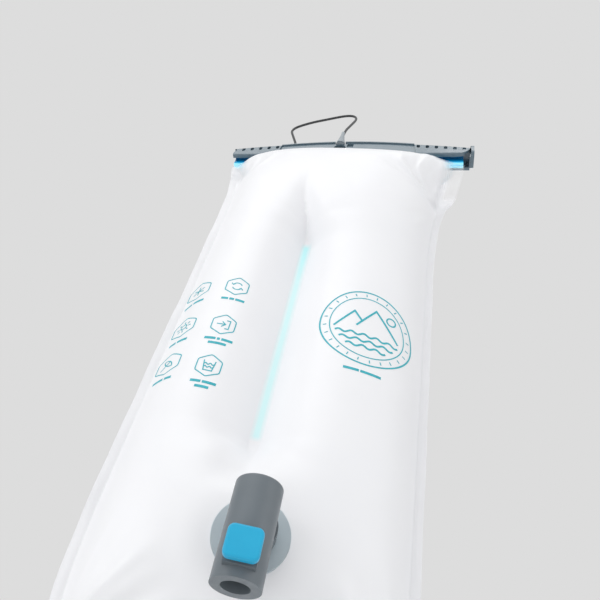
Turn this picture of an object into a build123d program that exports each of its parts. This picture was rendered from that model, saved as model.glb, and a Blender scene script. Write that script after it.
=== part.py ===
"""Hydration bladder: a two-lobe film bag, hung by a cord from the rail that closes its mouth.

The frame is in millimetres. +Z is up, the front of the bag faces -Y and +X is the right side
seen from the front. The origin is the inside top of the hang cord's loop. The rail's datum is
the height of the roof that its grips start from; distances called "drop" are measured down
from it.
"""

import math
import os

from build123d import *

os.makedirs("parts", exist_ok=True)

# ---------------------------------------------------------------- driving dimensions
hang_height = 62.0          # hang point above the rail's datum
rail_shift = 4.5            # the rail's middle is this far right of the hang point
rail_turn = 12.5            # the rail's right end is turned this many degrees to the front
port_x = 2.5                # centre of the outlet, across the bag
port_drop = 333.0           # centre of the outlet below the rail's datum

# slide-on closure rail, in its own frame: x along it, y across it, z up from its datum
rail_left = -90.5
rail_right = 94.5
rail_half_depth = 7.8
rail_edge_round = 1.2
rail_bottom = -12.4
rail_body_top = 4.1         # the top of both ends is one arch, and the middle stands higher
rail_body_fall = 0.00092    # fall of that arch, per millimetre squared
crown_top = 7.0
crown_fall = 0.00145
crown_half_length = 52.5
crown_bottom = -4.0
crown_rim_round = 0.8
crown_recess = 1.0          # the crown's walls are set back under a rim
crown_recess_flare = 2.0
rim_height = 1.7
channel_half = 5.8
channel_top = -6.0
mouth_half = 4.6
mouth_top = -10.4
end_plate = 2.8
end_plate_middle = -5.3
end_plate_height = 13.2
end_plate_corner = 4.0
end_arch_start = 84.0       # the front wall's lower edge curves up to the end plate
end_arch_radius = 11.0
grip_first = 55.6
grip_pitch = 6.85
grip_count = 6
grip_radius = 1.3
grip_height = 4.4
grip_below = 3.0            # middle of a grip slot below the top
grip_depth = 2.1
grip_depth_step = 0.25
pocket_z = -1.9             # half-round pocket under the cord's ferrule
pocket_radius = 4.8
pocket_floor = -5.0
pocket_depth = 3.2
notch_x = 2.6               # small recess beside it
notch_z = 1.2
notch_width = 5.0
notch_height = 5.2
notch_corner = 0.8
notch_depth = 2.2

# blue lips of the mouth
lip_half_length = 89.5
lip_gap = 0.2               # half of the gap between the two lips
lip_web = 2.0
lip_bead = 5.3
lip_top = -6.6
lip_shown = 17.1            # drop of the lip's full-length edge
lip_low = 24.0              # drop of the lip's lower edge, inside the bag
lip_low_half_length = 72.0
lip_middle_web = 1.6        # the web thins towards the lip's lower edge
lip_low_web = 1.0
lip_play = 0.3              # between the bead and the rail's lower flanges

# hang cord
cord_diameter = 2.0
ferrule_x = -5.5
ferrule_y = -6.6
ferrule_low = 3.4
ferrule_high = 22.0
ferrule_base = 3.5          # radius of the ferrule's foot, waist and tip
ferrule_base_top = 5.4
ferrule_waist = 2.05
ferrule_waist_z = 13.0
ferrule_tip = 1.3
ferrule_seat = 4.0          # radius of its seat in the crown
knot_x = -42.0
knot_y = -4.0
knot_z = -4.1
knot_radius = 2.0
knot_pocket_radius = 3.1
knot_pocket_top = -2.4
cord_hole_radius = 1.6

# film bag
film = 0.8                  # film thickness
weld = 6.5                  # width of the side weld
valley_x = -11.9            # the baffle's place across the bag, from the rail's middle
baffle_top = 133.0
baffle_low = 278.0
valley_depth = 6.5          # how far the film stands from the middle plane at the baffle
valley_width = 17.0
valley_power = 1.6
strip_play = 0.1            # between the baffle strips and the film

# outlet: a quick-connect socket that points down, on a round flange
flange_radius = 16.0
flange_front = -27.8
flange_thickness = 2.4
flange_bore = 6.0
skirt_wall = 1.6
skirt_back = -14.0
boss_radius = 8.5
boss_end = -33.0
neck_radius = 5.5
passage_radius = 3.4
gasket_bore = 6.1
nut_wall = 0.8
nut_gap = 1.0               # between the flange and the retaining ring
nut_grips = 12
nut_grip_radius = 0.7
slide_fit = 0.05
shoulder_radius = 7.5
gasket_thickness = 0.8
shoulder_thickness = 1.8
nut_radius = 10.2
socket_y = -47.0
socket_radius = 9.5
socket_top = 9.0            # heights and depths of the socket from the port's centre
socket_mouth = -28.0
chamber_radius = 5.6
chamber_low = -7.0
seat_radius = 4.0
seat_low = -9.0
bore_radius = 5.5
cap_thickness = 2.5
cap_round = 1.2
cap_spigot = 3.0
oring_z = -13.2
oring_radius = 6.1
oring_small_radius = 0.95
oring_groove_radius = 7.1
oring_groove_height = 2.2
latch_z = -18.2
latch_thickness = 1.6
latch_travel = 1.5
latch_radius = 7.4
latch_y = -0.3              # centre of the latch plate, behind the pressed button's place
latch_hole_radius = 5.9
latch_hole_y = -1.3
latch_play = 0.1
stem_width = 10.0
stem_play = 0.2
pad_width = 12.0
pad_proud = 1.5
button_width = 13.0
button_height = 12.0
button_thickness = 2.6
button_corner = 2.5
button_round = 1.0
spring_above_latch = 3.7
spring_pocket_radius = 2.1
spring_pocket_depth = 3.0

# valve and springs
seal_radius = 5.0
seal_height = 1.6
head_radius = 5.1
head_height = 2.0
pin_radius = 1.5
pin_length = 3.4
stem_radius = 2.0
stem_low = -16.0
spring_turns = 5
poppet_spring_radius = 3.4
poppet_spring_wire = 0.7
button_spring_radius = 1.5
button_spring_wire = 0.5

rail_x = (math.cos(math.radians(rail_turn)), -math.sin(math.radians(rail_turn)), 0)
rail_plane = Plane(origin=(rail_shift, 0, -hang_height), x_dir=rail_x, z_dir=(0, 0, 1))


def rail_section(x):
    """Plane across the rail at x: its local axes are the rail's y and z."""
    start = rail_plane.from_local_coords(Vector(x, 0, 0))
    return Plane(origin=start, x_dir=rail_plane.y_dir, z_dir=rail_plane.x_dir)


def rail_side(y):
    """Plane along the rail at y, seen from the front: its local axes are the rail's x and z."""
    start = rail_plane.from_local_coords(Vector(0, y, 0))
    return Plane(origin=start, x_dir=rail_plane.x_dir, z_dir=-rail_plane.y_dir)


def body_top(x):
    """Height of the arched top of the rail's two ends at x."""
    return rail_body_top - rail_body_fall * x ** 2


def crown_arch(x):
    """Height of the arched top of the rail's middle at x."""
    return crown_top - crown_fall * x ** 2


def save(part, label):
    part.label = label
    export_step(part, "parts/" + label + ".step")


# ---------------------------------------------------------------- closure rail
with BuildPart() as slider_rail:
    with BuildSketch(rail_side(0)):
        with BuildLine():
            Line((rail_left, body_top(rail_left)), (rail_left, rail_bottom))
            Line((rail_left, rail_bottom), (rail_right, rail_bottom))
            Line((rail_right, rail_bottom), (rail_right, body_top(rail_right)))
            ThreePointArc((rail_right, body_top(rail_right)), (0, body_top(0)), (rail_left, body_top(rail_left)))
        make_face()
    extrude(amount=rail_half_depth, both=True)
    fillet(slider_rail.edges().sort_by(SortBy.LENGTH)[-4:], rail_edge_round)
    with BuildPart(mode=Mode.PRIVATE) as crown:
        with BuildSketch(rail_side(0)):
            with BuildLine():
                crown_end = crown_arch(crown_half_length)
                Line((-crown_half_length, crown_end), (-crown_half_length, crown_bottom))
                Line((-crown_half_length, crown_bottom), (crown_half_length, crown_bottom))
                Line((crown_half_length, crown_bottom), (crown_half_length, crown_end))
                ThreePointArc((crown_half_length, crown_end), (0, crown_top), (-crown_half_length, crown_end))
            make_face()
        extrude(amount=rail_half_depth, both=True)
        fillet(crown.edges().filter_by(GeomType.CIRCLE), crown_rim_round)
    add(crown.part)
    with BuildSketch(rail_section(rail_right)):
        with Locations((0, end_plate_middle)):
            RectangleRounded(2 * rail_half_depth - 0.4, end_plate_height, end_plate_corner)
    extrude(amount=end_plate)
    with BuildSketch(rail_section(rail_left)):
        with Locations((0, channel_top)):
            Rectangle(2 * channel_half, channel_top - mouth_top, align=(Align.CENTER, Align.MAX))
        with Locations((0, rail_bottom)):
            Rectangle(2 * mouth_half, mouth_top - rail_bottom + 0.1, align=(Align.CENTER, Align.MIN))
    extrude(amount=rail_right - rail_left - 0.5, mode=Mode.SUBTRACT)
    # grip slots in both walls, shallower towards the ends
    for step in range(grip_count):
        for place in (-grip_first - step * grip_pitch, grip_first + step * grip_pitch):
            for wall in (-rail_half_depth, rail_half_depth):
                with BuildSketch(rail_side(wall)):
                    with Locations((place, body_top(place) - grip_below)):
                        SlotOverall(grip_height, 2 * grip_radius, rotation=90)
                inward = grip_depth - grip_depth_step * step
                extrude(amount=-inward if wall < 0 else inward, mode=Mode.SUBTRACT)
    # the crown's walls are set back under its rim
    recess_end = crown_arch(crown_half_length) - rim_height
    recess_half = crown_half_length + crown_recess_flare
    for wall in (-rail_half_depth, rail_half_depth):
        with BuildSketch(rail_side(wall)):
            with BuildLine():
                Line((-crown_half_length, recess_end), (-recess_half, rail_bottom - 1))
                Line((-recess_half, rail_bottom - 1), (recess_half, rail_bottom - 1))
                Line((recess_half, rail_bottom - 1), (crown_half_length, recess_end))
                ThreePointArc((crown_half_length, recess_end), (0, crown_top - rim_height),
                              (-crown_half_length, recess_end))
            make_face()
        extrude(amount=-crown_recess if wall < 0 else crown_recess, mode=Mode.SUBTRACT)
    # the front wall's lower edge curves up to the end plate
    with BuildSketch(rail_side(-rail_half_depth)):
        with BuildLine():
            arch_middle = rail_bottom + end_arch_radius
            arch_end = end_arch_start + end_arch_radius
            slant = end_arch_radius / math.sqrt(2)
            Line((end_arch_start, rail_bottom - 1), (arch_end, rail_bottom - 1))
            Line((arch_end, rail_bottom - 1), (arch_end, arch_middle))
            ThreePointArc((arch_end, arch_middle), (end_arch_start + slant, arch_middle - slant),
                          (end_arch_start, rail_bottom))
            Line((end_arch_start, rail_bottom), (end_arch_start, rail_bottom - 1))
        make_face()
    extrude(amount=-(rail_half_depth - mouth_half), mode=Mode.SUBTRACT)
    # half-round pocket and, beside it, a small notch
    with BuildSketch(rail_side(-rail_half_depth)):
        with Locations((ferrule_x, pocket_z)):
            Circle(pocket_radius)
        with Locations((ferrule_x, pocket_floor)):
            Rectangle(2 * pocket_radius, pocket_radius, align=(Align.CENTER, Align.MAX), mode=Mode.SUBTRACT)
    extrude(amount=-pocket_depth, mode=Mode.SUBTRACT)
    with BuildSketch(rail_side(-rail_half_depth)):
        with Locations((notch_x, notch_z)):
            RectangleRounded(notch_width, notch_height, notch_corner)
    extrude(amount=-notch_depth, mode=Mode.SUBTRACT)
    # seat of the cord's ferrule, open to the front
    with BuildSketch(rail_plane.offset(ferrule_low)):
        with Locations((ferrule_x, ferrule_y)):
            Circle(ferrule_seat)
            Rectangle(2 * ferrule_seat, rail_half_depth, align=(Align.CENTER, Align.MAX))
    extrude(amount=crown_top, mode=Mode.SUBTRACT)
    # cord hole and, under it, the pocket of the stopper knot
    with BuildSketch(rail_plane.offset(channel_top - 1)):
        with Locations((knot_x, knot_y)):
            Circle(knot_pocket_radius)
    extrude(amount=knot_pocket_top - channel_top + 1, mode=Mode.SUBTRACT)
    with BuildSketch(rail_plane.offset(knot_z)):
        with Locations((knot_x, knot_y)):
            Circle(cord_hole_radius)
    extrude(amount=crown_top - knot_z, mode=Mode.SUBTRACT)

save(slider_rail.part, "slider_rail")

# ---------------------------------------------------------------- hang cord
# Points of the cord in the rail's frame: from the ferrule up over the hook and down to the knot.
cord_route = [
    (ferrule_x, ferrule_y, 7.0),
    (-5.3, -6.3, 24.0),
    (-1.3, -2.8, 42.5),
    (1.7, -0.4, 56.8),
    (-1.9, 0.0, 63.1),
    (-9.5, -0.2, 63.0),
    (-22.0, -1.0, 56.5),
    (-38.5, -2.2, 47.5),
    (-48.8, -3.4, 34.5),
    (-46.6, -4.0, 19.5),
    (knot_x, knot_y, 6.5),
    (knot_x, knot_y, knot_z),
]


def route_radii(points):
    """Largest arc that each corner of a route has room for."""
    radii = []
    for before, corner, after in zip(points, points[1:], points[2:]):
        arrive = Vector(*corner) - Vector(*before)
        leave = Vector(*after) - Vector(*corner)
        turn = math.radians(arrive.get_angle(leave))
        radii.append(0.45 * min(arrive.length, leave.length) / math.tan(turn / 2))
    return radii


cord_radii = route_radii(cord_route)
with BuildLine(rail_plane) as cord_line:
    FilletPolyline(*cord_route, radius=cord_radii)
cord_path = cord_line.wires()[0]
with BuildPart() as hang_cord:
    with BuildSketch(Plane(origin=cord_path @ 0, z_dir=cord_path % 0)):
        Circle(cord_diameter / 2)
    sweep(path=cord_path)
print("cord radii", [round(radius, 1) for radius in cord_radii])
print("cord length", round(cord_path.length, 1))
cord_ideal = math.pi * (cord_diameter / 2) ** 2 * cord_path.length
print("cord volume", round(hang_cord.part.volume, 1), "of", round(cord_ideal, 1))
save(hang_cord.part, "hang_cord")

with BuildPart() as cord_ferrule:
    with BuildSketch(Plane(rail_plane.from_local_coords(Vector(ferrule_x, ferrule_y, 0)),
                           x_dir=rail_plane.x_dir, z_dir=-rail_plane.y_dir)):
        with BuildLine():
            foot = ferrule_low + 0.1
            Polyline((0, foot), (ferrule_base, foot), (ferrule_base, ferrule_base_top))
            ThreePointArc((ferrule_base, ferrule_base_top), (ferrule_waist, ferrule_waist_z),
                          (ferrule_tip, ferrule_high))
            Polyline((ferrule_tip, ferrule_high), (0, ferrule_high), (0, foot))
        make_face()
    ferrule_axis = Axis(rail_plane.from_local_coords(Vector(ferrule_x, ferrule_y, 0)), (0, 0, 1))
    revolve(axis=ferrule_axis)
save(cord_ferrule.part, "cord_ferrule")

with BuildPart() as cord_stopper_knot:
    with Locations(rail_plane.from_local_coords(Vector(knot_x, knot_y, knot_z))):
        Sphere(knot_radius)
save(cord_stopper_knot.part, "cord_stopper_knot")


# ---------------------------------------------------------------- blue lips of the mouth
def lip_strip(side, label):
    """One lip: a bead in the rail's channel and a web down into the bag; side -1 is the front."""
    near = side * lip_gap
    web = side * (lip_gap + lip_web)
    bead = side * (lip_gap + lip_bead)
    with BuildPart() as lip:
        with BuildSketch(rail_section(-lip_half_length)):
            with BuildLine():
                Polyline((near, lip_top), (bead, lip_top), (bead, mouth_top + lip_play),
                         (web, mouth_top + lip_play), (web, -lip_shown), (near, -lip_shown), close=True)
            make_face()
        extrude(amount=2 * lip_half_length)
        with BuildSketch(rail_section(-lip_low_half_length)):
            with BuildLine():
                Polyline((near, -lip_shown), (side * (lip_gap + lip_middle_web), -lip_shown),
                         (side * (lip_gap + lip_low_web), -lip_low), (near, -lip_low), close=True)
            make_face()
        extrude(amount=2 * lip_low_half_length)
    save(lip.part, label)


lip_strip(-1, "front_lip_strip")
lip_strip(1, "back_lip_strip")

# ---------------------------------------------------------------- film bag
# Levels of the bag: drop, left and right half width from the rail's middle, bulge, valley,
# share of the rail's turn, and squareness, which is the power of the bulge's lens: 2 is an
# ellipse, more is flatter.
film_levels = [
    (17.3, 90.0, 90.3, 3.0, 3.0, 1.0, 16.0),
    (19.5, 89.8, 90.1, 11.3, 11.3, 0.98, 4.7),
    (22.0, 89.5, 89.8, 16.5, 16.5, 0.95, 3.4),
    (26.0, 88.8, 89.1, 20.6, 20.6, 0.9, 2.8),
    (31.0, 87.8, 88.4, 23.6, 23.6, 0.82, 2.5),
    (40.0, 85.5, 87.0, 26.0, 26.0, 0.68, 2.3),
    (55.0, 81.5, 84.0, 27.0, 27.0, 0.42, 2.2),
    (80.0, 77.8, 75.5, 28.0, 26.5, 0.15, 2.3),
    (108.0, 76.8, 73.0, 28.0, 18.0, 0.0, 2.3),
    (130.0, 76.8, 72.6, 28.0, valley_depth, 0.0, 2.3),
    (280.0, 78.0, 72.6, 28.0, valley_depth, 0.0, 2.3),
    (300.0, 78.0, 72.6, 28.0, 18.0, 0.0, 2.3),
    (322.0, 78.0, 72.6, 27.5, 26.0, 0.0, 2.3),
    (344.0, 77.5, 72.3, 26.5, 26.5, 0.0, 2.4),
    (358.0, 76.5, 71.5, 22.5, 22.5, 0.0, 2.6),
    (370.0, 74.5, 69.5, 14.5, 14.5, 0.0, 3.2),
    (377.0, 72.5, 67.5, 6.5, 6.5, 0.0, 5.0),
    (380.0, 71.5, 66.5, 0.9, 0.9, 0.0, 16.0),
    (386.0, 70.0, 65.0, 0.9, 0.9, 0.0, 16.0),
]
lobe_steps = [0.05, 0.18, 0.42, 0.66, 0.86]


def film_depth(x, low, high, bulge, valley, power):
    """How far the film stands from the middle plane at x, between the welds at low and high."""
    middle = (low + high) / 2
    half = (high - low) / 2
    lens = bulge * (1 - abs((x - middle) / half) ** power) ** 0.5
    dip = max(lens - valley, 0) * math.exp(-abs((x - valley_x) / valley_width) ** valley_power)
    return lens - dip


def film_curve(low, high, bulge, valley, power, side, lift):
    """Points of the film's line across the bag from weld to weld."""
    places = [low + (valley_x - low) * step for step in lobe_steps]
    places.append(valley_x)
    places += [high + (valley_x - high) * step for step in reversed(lobe_steps)]
    points = [(low, side * lift)]
    for x in places:
        points.append((x, side * (lift + film_depth(x, low, high, bulge, valley, power))))
    points.append((high, side * lift))
    return points


def film_panel(side):
    """One film panel with its flat side welds; side -1 is the front."""
    with BuildPart() as panel:
        for drop, left, right, bulge, valley, turn, power in film_levels:
            angle = math.radians(rail_turn * turn)
            level = Plane(origin=(rail_shift, 0, -hang_height - drop), z_dir=(0, 0, 1),
                          x_dir=(math.cos(angle), -math.sin(angle), 0))
            low = weld - left
            high = right - weld
            outer = film_curve(low, high, bulge - film, valley - film, power, side, film)
            inner = film_curve(low + film, high - film, bulge - film, valley - film, power, side, 0)
            with BuildSketch(level):
                with BuildLine():
                    Line((-left, side * film), outer[0])
                    Spline(*outer)
                    Line(outer[-1], (right, side * film))
                    Line((right, side * film), (right, 0))
                    Line((right, 0), inner[-1])
                    Spline(*reversed(inner))
                    Line(inner[0], (-left, 0))
                    Line((-left, 0), (-left, side * film))
                make_face()
        loft(ruled=True)
    return panel.part


port_z = -hang_height - port_drop
port_plane = Plane(origin=(port_x, 0, port_z), x_dir=(1, 0, 0), z_dir=(0, -1, 0))
with BuildPart() as front_panel:
    add(film_panel(-1))
    with BuildSketch(port_plane):
        Circle(flange_radius + slide_fit)
    extrude(amount=60, mode=Mode.SUBTRACT)
save(front_panel.part, "front_panel")
with BuildPart() as back_panel:
    add(film_panel(1))
save(back_panel.part, "back_panel")


# ---------------------------------------------------------------- interlocking baffle
baffle_plane = Plane(origin=(rail_shift + valley_x, 0, -hang_height - baffle_low))
baffle_height = baffle_low - baffle_top
strip_face = valley_depth - film - strip_play
with BuildPart() as baffle_front_strip:
    with BuildSketch(baffle_plane):
        with BuildLine():
            Polyline((-2, -strip_face), (2, -strip_face), (2, -4.4), (0.7, -4.4), (0.7, 0.6), (1.6, 0.6),
                     (0, 2.8), (-1.6, 0.6), (-0.7, 0.6), (-0.7, -4.4), (-2, -4.4), close=True)
        make_face()
    extrude(amount=baffle_height)
save(baffle_front_strip.part, "baffle_front_strip")

with BuildPart() as baffle_back_strip:
    with BuildSketch(baffle_plane):
        with BuildLine():
            Polyline((-3.2, strip_face), (-3.2, -0.4), (-1, -0.4), (-1, 0.4), (-2, 0.4), (-2, 4.2), (2, 4.2),
                     (2, 0.4), (1, 0.4), (1, -0.4), (3.2, -0.4), (3.2, strip_face), close=True)
        make_face()
    extrude(amount=baffle_height)
save(baffle_back_strip.part, "baffle_back_strip")

# ---------------------------------------------------------------- outlet flange and union
port_axis = Axis((port_x, 0, port_z), (0, -1, 0))
port_side = Plane(origin=(port_x, 0, port_z), x_dir=(0, 1, 0), z_dir=(1, 0, 0))
shoulder_back = boss_end - gasket_thickness
shoulder_front = shoulder_back - shoulder_thickness
nut_back = flange_front - nut_gap

# Profiles of the round port pieces: their local x is the row's y and their local y the height.
with BuildPart() as port_flange:
    with BuildSketch(port_side):
        with BuildLine():
            flange_back = flange_front + flange_thickness
            skirt_radius = flange_radius - skirt_wall
            Polyline((flange_front, flange_bore), (flange_back, flange_bore), (flange_back, skirt_radius),
                     (skirt_back, skirt_radius), (skirt_back, flange_radius), (flange_front, flange_radius),
                     (flange_front, boss_radius), (boss_end, boss_radius), (boss_end, flange_bore), close=True)
        make_face()
    revolve(axis=port_axis)
save(port_flange.part, "port_flange")

with BuildPart() as port_gasket:
    with BuildSketch(port_plane.offset(-boss_end)):
        Circle(shoulder_radius)
        Circle(gasket_bore, mode=Mode.SUBTRACT)
    extrude(amount=gasket_thickness)
save(port_gasket.part, "port_gasket")

with BuildPart() as port_retaining_ring:
    with BuildSketch(port_plane.offset(-nut_back)):
        Circle(nut_radius)
        Circle(boss_radius + slide_fit, mode=Mode.SUBTRACT)
    extrude(amount=nut_back - shoulder_front)
    with BuildSketch(port_plane.offset(-shoulder_front)):
        Circle(nut_radius)
        Circle(neck_radius + stem_play, mode=Mode.SUBTRACT)
    extrude(amount=nut_wall)
    with BuildSketch(port_plane.offset(-nut_back)):
        with PolarLocations(nut_radius, nut_grips):
            Circle(nut_grip_radius)
    extrude(amount=nut_back - shoulder_front, mode=Mode.SUBTRACT)
save(port_retaining_ring.part, "port_retaining_ring")

# ---------------------------------------------------------------- outlet elbow with its socket
socket_plane = Plane(origin=(port_x, socket_y, port_z))
button_pad = socket_radius + pad_proud
spring_z = port_z + latch_z + spring_above_latch
with BuildPart() as port_housing:
    with BuildSketch(port_plane.offset(-shoulder_back)):
        Circle(shoulder_radius)
    extrude(amount=shoulder_thickness)
    with BuildSketch(port_plane.offset(-shoulder_front)):
        Circle(neck_radius)
    extrude(amount=-socket_y + shoulder_front)
    with BuildSketch(socket_plane.offset(socket_mouth)):
        Circle(socket_radius)
    extrude(amount=socket_top - socket_mouth)
    # pad in front of the button
    with BuildSketch(socket_plane.offset(latch_z - pad_width / 2)):
        with Locations((0, -button_pad)):
            Rectangle(pad_width, button_pad, align=(Align.CENTER, Align.MIN))
    extrude(amount=pad_width)
    # valve chamber, seat and plug bore
    with BuildSketch(socket_plane.offset(chamber_low)):
        Circle(chamber_radius)
    extrude(amount=socket_top - chamber_low, mode=Mode.SUBTRACT)
    with BuildSketch(socket_plane.offset(seat_low)):
        Circle(seat_radius)
    extrude(amount=chamber_low - seat_low, mode=Mode.SUBTRACT)
    with BuildSketch(socket_plane.offset(socket_mouth)):
        Circle(bore_radius)
    extrude(amount=seat_low - socket_mouth, mode=Mode.SUBTRACT)
    with BuildSketch(port_plane.offset(-boss_end)):
        Circle(passage_radius)
    extrude(amount=boss_end - socket_y, mode=Mode.SUBTRACT)
    # groove of the plug's seal
    with BuildSketch(socket_plane.offset(oring_z - oring_groove_height / 2)):
        Circle(oring_groove_radius)
    extrude(amount=oring_groove_height, mode=Mode.SUBTRACT)
    # slot of the latch plate and pocket of the button's spring
    with BuildSketch(socket_plane.offset(latch_z - latch_thickness / 2 - latch_play)):
        with Locations((0, latch_y), (0, latch_y + latch_travel + latch_play)):
            Circle(latch_radius + latch_play)
        with Locations((0, -button_pad - latch_play)):
            Rectangle(stem_width + 2 * stem_play, button_pad, align=(Align.CENTER, Align.MIN))
    extrude(amount=latch_thickness + 2 * latch_play, mode=Mode.SUBTRACT)
    with BuildSketch(Plane(origin=(port_x, socket_y - button_pad, spring_z), z_dir=(0, 1, 0))):
        Circle(spring_pocket_radius)
    extrude(amount=spring_pocket_depth, mode=Mode.SUBTRACT)
save(port_housing.part, "port_housing")

with BuildPart() as housing_cap:
    with BuildSketch(socket_plane.offset(socket_top)):
        Circle(socket_radius)
    extrude(amount=cap_thickness)
    fillet(housing_cap.edges().group_by(Axis.Z)[-1], cap_round)
    with BuildSketch(socket_plane.offset(socket_top)):
        Circle(chamber_radius - 2 * slide_fit)
    extrude(amount=-cap_spigot)
save(housing_cap.part, "housing_cap")

seal_top = chamber_low + seal_height
head_top = seal_top + head_height
with BuildPart() as valve_poppet:
    with BuildSketch(socket_plane.offset(seal_top)):
        Circle(head_radius)
    extrude(amount=head_height)
    with BuildSketch(socket_plane.offset(head_top)):
        Circle(pin_radius)
    extrude(amount=pin_length)
    with BuildSketch(socket_plane.offset(stem_low)):
        Circle(stem_radius)
    extrude(amount=seal_top - stem_low)
save(valve_poppet.part, "valve_poppet")

with BuildPart() as poppet_seal:
    with BuildSketch(socket_plane.offset(chamber_low)):
        Circle(seal_radius)
        Circle(stem_radius, mode=Mode.SUBTRACT)
    extrude(amount=seal_height)
save(poppet_seal.part, "poppet_seal")


def coil_spring(base, height, radius, wire):
    """Round-wire compression spring whose wire starts on the plane base."""
    with BuildLine():
        line = Helix(pitch=(height - wire) / spring_turns, height=height - wire, radius=radius,
                     center=base.origin, direction=base.z_dir)
    with BuildPart() as spring:
        with BuildSketch(Plane(origin=line @ 0, z_dir=line % 0)):
            Circle(wire / 2)
        sweep(path=line)
    return spring.part


poppet_spring_base = socket_plane.offset(head_top + poppet_spring_wire / 2)
poppet_spring_height = socket_top - cap_spigot - head_top
save(coil_spring(poppet_spring_base, poppet_spring_height, poppet_spring_radius, poppet_spring_wire),
     "poppet_spring")

with BuildPart() as socket_oring:
    with Locations((port_x, socket_y, port_z + oring_z)):
        Torus(oring_radius, oring_small_radius)
save(socket_oring.part, "socket_oring")

# ---------------------------------------------------------------- release button with its latch plate
button_back = button_pad + latch_travel + 0.5
button_front = Plane(origin=(port_x, socket_y - button_back, port_z + latch_z), z_dir=(0, -1, 0),
                     x_dir=(1, 0, 0))
with BuildPart() as release_button:
    with BuildSketch(socket_plane.offset(latch_z - latch_thickness / 2)):
        with Locations((0, latch_y)):
            Circle(latch_radius)
        with Locations((0, -button_back)):
            Rectangle(stem_width, button_back, align=(Align.CENTER, Align.MIN))
        with Locations((0, latch_hole_y)):
            Circle(latch_hole_radius, mode=Mode.SUBTRACT)
    extrude(amount=latch_thickness)
    with BuildSketch(button_front):
        RectangleRounded(button_width, button_height, button_corner)
    extrude(amount=button_thickness)
    fillet(release_button.edges().group_by(Axis.Y)[0], button_round)
save(release_button.part, "release_button")

spring_y = socket_y - button_pad + spring_pocket_depth - button_spring_wire / 2
button_spring_base = Plane(origin=(port_x, spring_y, spring_z), z_dir=(0, -1, 0), x_dir=(1, 0, 0))
button_spring_height = button_back - button_pad + spring_pocket_depth
save(coil_spring(button_spring_base, button_spring_height, button_spring_radius, button_spring_wire),
     "button_spring")
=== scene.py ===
"""Looks of the hydration bladder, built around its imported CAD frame.

Lengths of the object are in millimetres in the tables below and become metres in the meshes.
"Drop" is measured down from the rail's datum, x across the bag from the rail's middle.
"""
import math

import bmesh
import bpy
import numpy as np
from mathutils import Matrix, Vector


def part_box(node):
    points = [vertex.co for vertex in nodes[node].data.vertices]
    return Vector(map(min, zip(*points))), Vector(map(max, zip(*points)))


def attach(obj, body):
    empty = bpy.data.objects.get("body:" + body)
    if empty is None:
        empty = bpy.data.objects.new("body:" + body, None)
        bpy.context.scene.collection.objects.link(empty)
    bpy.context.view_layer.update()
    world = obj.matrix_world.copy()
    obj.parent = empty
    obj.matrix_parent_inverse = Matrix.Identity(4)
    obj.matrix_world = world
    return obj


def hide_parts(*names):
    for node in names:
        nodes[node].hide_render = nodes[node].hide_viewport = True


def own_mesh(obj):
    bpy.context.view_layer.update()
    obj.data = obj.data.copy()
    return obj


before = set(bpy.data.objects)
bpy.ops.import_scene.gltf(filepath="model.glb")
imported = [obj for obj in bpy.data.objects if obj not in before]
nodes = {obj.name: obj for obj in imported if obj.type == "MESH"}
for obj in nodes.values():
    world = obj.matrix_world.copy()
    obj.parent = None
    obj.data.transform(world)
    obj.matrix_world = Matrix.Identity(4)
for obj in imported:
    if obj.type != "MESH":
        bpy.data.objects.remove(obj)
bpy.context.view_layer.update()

scene = bpy.context.scene

# ---------------------------------------------------------------- camera, low in front and looking up
camera_data = bpy.data.cameras.new("camera")
camera_data.lens = 38.135
camera_data.sensor_width = 36.0
camera_data.clip_start = 0.01
camera = bpy.data.objects.new("camera", camera_data)
camera.location = (0.01569, -0.27290, -0.50513)
camera.rotation_euler = [math.radians(a) for a in (135.728, -10.024, -6.102)]
scene.collection.objects.link(camera)
scene.camera = camera

# ---------------------------------------------------------------- shared sizes
MM = 0.001
RAIL_SHIFT = 4.5
RAIL_TURN = math.radians(12.5)
HANG_HEIGHT = 62.0


def rail_point(x, y, z):
    """A point given in the rail's frame, in metres, in the row frame."""
    c, s = math.cos(RAIL_TURN), math.sin(RAIL_TURN)
    return Vector((RAIL_SHIFT * MM + x * c + y * s, y * c - x * s, z - HANG_HEIGHT * MM))


def z_at(drop):
    """A drop as a height in the row frame, in metres."""
    return -(HANG_HEIGHT + drop) * MM


# ---------------------------------------------------------------- node helpers
def new_material(name):
    material = bpy.data.materials.new(name)
    material.use_nodes = True
    tree = material.node_tree
    return material, tree, tree.nodes["Principled BSDF"]


def add(tree, kind, **values):
    """A new shader node; values are its inputs by name, or attributes when there is no such input."""
    node = tree.nodes.new(kind)
    for key, value in values.items():
        label = key.replace("_", " ")
        if label in node.inputs:
            node.inputs[label].default_value = value
        else:
            setattr(node, key, value)
    return node


def object_coordinates(tree):
    return add(tree, "ShaderNodeTexCoord").outputs["Object"]


def place_axes(tree, place):
    node = add(tree, "ShaderNodeSeparateXYZ")
    tree.links.new(place, node.inputs["Vector"])
    return node.outputs["X"], node.outputs["Z"]


def calculate(tree, operation, *values):
    """A maths node on sockets and plain numbers."""
    node = add(tree, "ShaderNodeMath", operation=operation)
    for socket, value in zip(node.inputs, values):
        if isinstance(value, bpy.types.NodeSocket):
            tree.links.new(value, socket)
        else:
            socket.default_value = value
    return node.outputs["Value"]


def noise(tree, coordinates, scale, detail=3.0, roughness=0.5):
    node = add(tree, "ShaderNodeTexNoise", Scale=scale, Detail=detail, Roughness=roughness)
    tree.links.new(coordinates, node.inputs["Vector"])
    return node.outputs["Fac"]


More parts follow.
